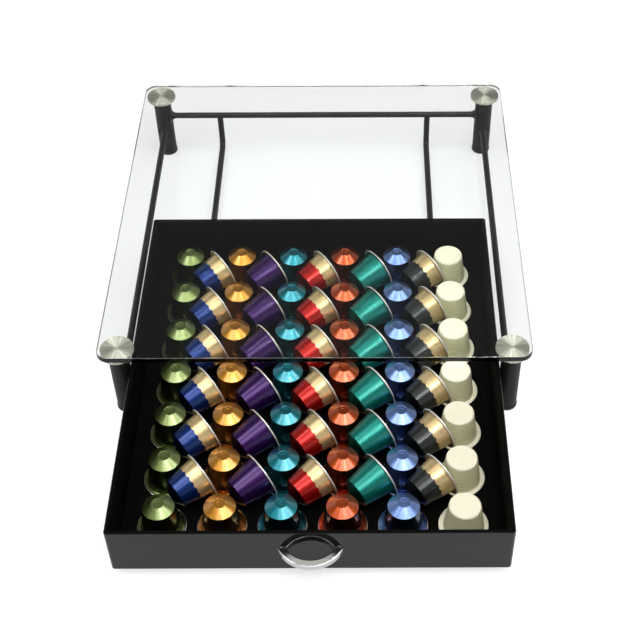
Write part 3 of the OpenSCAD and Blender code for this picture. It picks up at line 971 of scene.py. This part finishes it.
def cream_polypropylene():
    """Moulded polypropylene: warm cream and waxy, with wavy grooves moulded into the wall. Painted shade
    darkens the wall toward a yellower tone, most in its grooves.
    """
    groove_pitch = 2.0 * MM  # about 0.8 mm on the real cup, too fine to show
    groove_depth = 0.3 * MM
    waves = 7
    wave_height = 1.6 * MM
    fade_height = 1.5 * MM
    cloud_size = 6 * MM
    finish, tree = new_finish("cream_polypropylene")
    place = add(tree, "ShaderNodeTexCoord")
    cloud = add(tree, "ShaderNodeTexNoise", {
        "Vector": place.outputs["Object"], "Scale": 1 / cloud_size, "Detail": 3.0})
    turn = add(tree, "ShaderNodeUVMap", uv_map="turn")
    section = add(tree, "ShaderNodeUVMap", uv_map="section")
    around = add(tree, "ShaderNodeSeparateXYZ", {0: turn.outputs[0]})
    across = add(tree, "ShaderNodeSeparateXYZ", {0: section.outputs[0]})
    wave_at = add(tree, "ShaderNodeMath", {
        0: around.outputs[0], 1: 2 * math.pi * waves}, operation="MULTIPLY")
    wave = add(tree, "ShaderNodeMath", {0: wave_at.outputs[0]}, operation="SINE")
    level = add(tree, "ShaderNodeMath", {
        0: wave.outputs[0], 1: wave_height / 2, 2: across.outputs[1]}, operation="MULTIPLY_ADD")
    groove_at = add(tree, "ShaderNodeMath", {
        0: level.outputs[0], 1: 2 * math.pi / groove_pitch}, operation="MULTIPLY")
    groove = add(tree, "ShaderNodeMath", {0: groove_at.outputs[0]}, operation="SINE")
    below = add(tree, "ShaderNodeMapRange", {
        "Value": across.outputs[1], "From Min": CUP_SHOULDER[1], "From Max": CUP_SHOULDER[1] - fade_height})
    on_wall = add(tree, "ShaderNodeMapRange", {
        "Value": across.outputs[1], "From Min": LID_T + FLANGE_T, "From Max": LID_T + 2 * FLANGE_T,
        "To Max": below.outputs[0]})
    ridge = add(tree, "ShaderNodeMath", {0: groove.outputs[0], 1: on_wall.outputs[0]}, operation="MULTIPLY")
    relief = add(tree, "ShaderNodeBump", {
        "Height": ridge.outputs[0], "Strength": 1.0, "Distance": groove_depth / 2})
    # Painted shade: on the wall, the grooves are coloured a darker yellow-green, and the crests keep the
    # cream.
    painted_groove_shade = add(tree, "ShaderNodeMapRange", {
        "Value": groove.outputs[0], "From Min": -1.0, "To Min": on_wall.outputs[0], "To Max": 0.0})
    tone = add(tree, "ShaderNodeMix", {
        0: cloud.outputs[0], 6: linear("#ddd8be"), 7: linear("#e4dfca")}, data_type="RGBA")
    grooved_with_painted_shade = add(tree, "ShaderNodeMix", {
        0: painted_groove_shade.outputs[0], 6: tone.outputs[2], 7: linear("#c8c37c")}, data_type="RGBA")
    shader = add(tree, "ShaderNodeBsdfPrincipled", {
        "Base Color": grooved_with_painted_shade.outputs[2], "Roughness": 0.42, "IOR": 1.49, "Normal": relief.outputs[0]})
    add(tree, "ShaderNodeOutputMaterial", {"Surface": shader.outputs[0]})
    return finish


standing_row("cream", blunt_cup(), cream_polypropylene(), len(STANDING))

# Lying capsules: five columns of dyed foil cups, each on its side in the gap between four standing ones.
# Three of them are gold foil with a coloured print over their cone end.
LYING_OFFSET = Vector((7 * MM, 10.6 * MM, 0))
LYING_TURN = math.radians(37)
LYING_DIP = math.radians(11)
LYING_GAP = 0.35 * MM
LYING_SEED = 10
LYING_FOIL = {"wall_metal": 0.75, "wall_haze": 0.3, "lacquer_share": 0.25, "lacquer_haze": 0.1}
LYING = {
    "navy": ("#d8bd8a", "#0a2f74"),
    "purple": ("#330c50", None),
    "red": ("#d8bd8a", "#b8120a"),
    "green": ("#118074", None),
    "black": ("#d8bd8a", "#323534"),
}
lying_count = standing_count - 1
column_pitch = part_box("capsules_gold")[0].x - column_low.x
lying_first = Vector((
    column_low.x + rim_r + column_pitch / 2,
    front_row_y + row_pitch / 2,
    drawer_floor_z + LID_T + FLANGE_T + LYING_GAP + rim_r * math.cos(LYING_DIP)
    + (LID_T + FLANGE_T) * math.sin(LYING_DIP),
)) + LYING_OFFSET
lying_euler = (0, math.pi / 2 + LYING_DIP, math.pi + LYING_TURN)

for column, (name, (ground, ink)) in enumerate(LYING.items()):
    finish = anodised(f"anodised_{name}_foil", ground, ink, **LYING_FOIL)
    mesh = grown(cone_cup(), ROW_NODES, {
        "Count": lying_count, "First": lying_first + Vector((column * column_pitch, 0, 0)),
        "Step": (0, row_pitch, 0), "Turn": lying_euler, "Roll": math.pi, "Seed": LYING_SEED + column,
        "Finish": finish})
    fitted(f"{name}_capsules", mesh, "drawer", f"{name}_capsule", f"capsules_{name}")

# Foil lids: thin aluminium membranes, embossed with a fine lattice.
# One is heat-sealed under the flange of every cup.
LID_MARGIN = 0.5 * MM
LID_EDGE = 0.06 * MM


def sealing_foil():
    """Embossed aluminium foil: bright metal, with a lattice of small facets."""
    lattice_pitch = 1.2 * MM
    lattice_depth = 0.05 * MM
    finish, tree = new_finish("embossed_aluminium_foil")
    place = add(tree, "ShaderNodeTexCoord")
    lattice = add(tree, "ShaderNodeTexVoronoi", {
        "Vector": place.outputs["Object"], "Scale": 1 / lattice_pitch, "Randomness": 0.25})
    relief = add(tree, "ShaderNodeBump", {
        "Height": lattice.outputs[0], "Strength": 0.3, "Distance": lattice_depth})
    shader = add(tree, "ShaderNodeBsdfPrincipled", {
        "Base Color": linear("#d8d7d2"), "Metallic": 1.0, "Roughness": 0.3, "Normal": relief.outputs[0]})
    add(tree, "ShaderNodeOutputMaterial", {"Surface": shader.outputs[0]})
    return finish


def lid():
    """One round lid, lying on z = 0."""
    lid_r = rim_r - LID_MARGIN
    return turned(rounded([
        (0, LID_T, 0), (lid_r, LID_T, LID_EDGE), (lid_r, 0, LID_EDGE), (0, 0, 0)]))


foil = sealing_foil()
for name, count, first, turn, columns in (
    ("standing", standing_count, (column_low.x + rim_r, front_row_y, drawer_floor_z), (0, 0, 0),
     len(STANDING) + 1),
    ("lying", lying_count, lying_first, lying_euler, len(LYING)),
):
    column = grown(lid(), ROW_NODES, {
        "Count": count, "First": first, "Step": (0, row_pitch, 0), "Turn": turn})
    lids = grown(column, ROW_NODES, {
        "Count": columns, "Step": (column_pitch, 0, 0), "Finish": foil})
    fitted(f"{name}_foil_lids", lids, "drawer", "foil", f"{name}_lids")

# Studio: a white paper floor in a white surround, under five soft lamps and a warm card that face down.
# Floor and surround look white, and show in gloss and through glass; the floor keeps the shadow.
FLOOR_HALF = 3.0
FLOOR_T = 10 * MM
LAMPS = (  # name, place in metres, width, depth, power in watts, colour if not white
    ("top_lamp", (0.2, -0.3, 1.4), 2.0, 1.2, 3.0),
    ("front_lamp", (0.2, -0.7, 1.38), 1.3, 0.5, 9.2),
    ("left_lamp", (-0.75, -0.25, 1.38), 0.5, 0.7, 6.6),
    ("right_lamp", (1.05, -0.25, 1.38), 0.5, 0.7, 6.6),
    ("strip_lamp", (0.25, -0.3, 1.36), 0.05, 1.2, 5.6),
    ("back_card", (0, 0.48, 1.4), 1.6, 0.34, 0.85, "#fffae8"),
)


def white_floor():
    """White paper: it keeps the shadow near the rack and fades into the surround further off."""
    shadow_reach = 1.0
    fade_reach = 2.2
    near_glow = 0.72
    glass_glow = 0.36
    gloss_glow = 0.25
    finish, tree = new_finish("white_floor")
    ray = add(tree, "ShaderNodeLightPath")
    place = add(tree, "ShaderNodeTexCoord")
    distance = add(tree, "ShaderNodeVectorMath", {0: place.outputs["Object"]}, operation="LENGTH")
    seen = add(tree, "ShaderNodeMapRange", {
        "Value": distance.outputs["Value"], "From Min": shadow_reach, "From Max": fade_reach,
        "To Min": near_glow, "To Max": 1.0})
    through = add(tree, "ShaderNodeMath", {
        0: ray.outputs["Is Transmission Ray"], 1: glass_glow}, operation="MULTIPLY")
    mirrored = add(tree, "ShaderNodeMath", {
        0: ray.outputs["Is Glossy Ray"], 1: gloss_glow, 2: through.outputs[0]}, operation="MULTIPLY_ADD")
    glow = add(tree, "ShaderNodeMath", {
        0: ray.outputs["Is Camera Ray"], 1: seen.outputs[0], 2: mirrored.outputs[0]},
        operation="MULTIPLY_ADD")
    shader = add(tree, "ShaderNodeBsdfPrincipled", {
        "Base Color": linear("#a8a8a8"), "Roughness": 0.9, "Specular IOR Level": 0.0,
        "Emission Color": linear("#ffffff"), "Emission Strength": glow.outputs[0]})
    add(tree, "ShaderNodeOutputMaterial", {"Surface": shader.outputs[0]})
    return finish


def white_surround():
    """White walls that dim overhead, where the lamps alone show in gloss. The camera sees white all over."""
    wall_top = 0.35
    roof_edge = 0.6
    roof_glow = 0.1
    world = bpy.data.worlds.new("white_surround")
    world.use_nodes = True
    tree = world.node_tree
    tree.nodes.clear()
    ray = add(tree, "ShaderNodeLightPath")
    place = add(tree, "ShaderNodeTexCoord")
    aim = add(tree, "ShaderNodeSeparateXYZ", {0: place.outputs["Generated"]})
    cove = add(tree, "ShaderNodeMapRange", {
        "Value": aim.outputs[2], "From Min": wall_top, "From Max": roof_edge,
        "To Min": 1.0, "To Max": roof_glow})
    level = add(tree, "ShaderNodeMapRange", {
        "Value": ray.outputs["Is Camera Ray"], "To Min": cove.outputs[0], "To Max": 1.0})
    light = add(tree, "ShaderNodeBackground", {
        "Color": linear("#ffffff"), "Strength": level.outputs[0]})
    add(tree, "ShaderNodeOutputWorld", {"Surface": light.outputs[0]})
    return world


def soft_lamp(name, place, width, depth, power, colour="#ffffff"):
    """A flat lamp that faces straight down."""
    lamp = bpy.data.lights.new(name, "AREA")
    lamp.color = linear(colour)[:3]
    lamp.shape = "RECTANGLE"
    lamp.size = width
    lamp.size_y = depth
    lamp.energy = power
    stand = in_scene(name, lamp)
    stand.location = place
    stand.rotation_euler = Vector((0, 0, -1)).to_track_quat("-Z", "Y").to_euler()


floor_mesh = slab([Vector(c) * FLOOR_HALF for c in ((-1, -1), (1, -1), (1, 1), (-1, 1))], -FLOOR_T, 0)
floor_mesh.materials.append(white_floor())
floor = in_scene("studio_floor", floor_mesh)
bpy.context.scene.world = white_surround()
for lamp in LAMPS:
    soft_lamp(*lamp)

# Camera: at the photograph's height and angle, fitted to where the rack's corners lie in it.
CAMERA_PLACE = (38.5 * MM, -739.7 * MM, 790.8 * MM)
LOOK_DOWN = 46.383
LEAN = -0.222
SENSOR = 36.0
FRAME_PX = 640
FOCAL_PX = 1276.6
OPTICAL_AXIS_PX = 364.7
camera_data = bpy.data.cameras.new("camera")
camera_data.sensor_width = SENSOR
camera_data.lens = SENSOR * FOCAL_PX / FRAME_PX
camera_data.shift_x = 0.5 - OPTICAL_AXIS_PX / FRAME_PX
camera = in_scene("camera", camera_data)
camera.matrix_world = (
    Matrix.Translation(CAMERA_PLACE)
    @ Matrix.Rotation(math.radians(90 - LOOK_DOWN), 4, "X")
    @ Matrix.Rotation(math.radians(LEAN), 4, "Z")
)
bpy.context.scene.camera = camera
bpy.context.scene.view_settings.view_transform = "Standard"
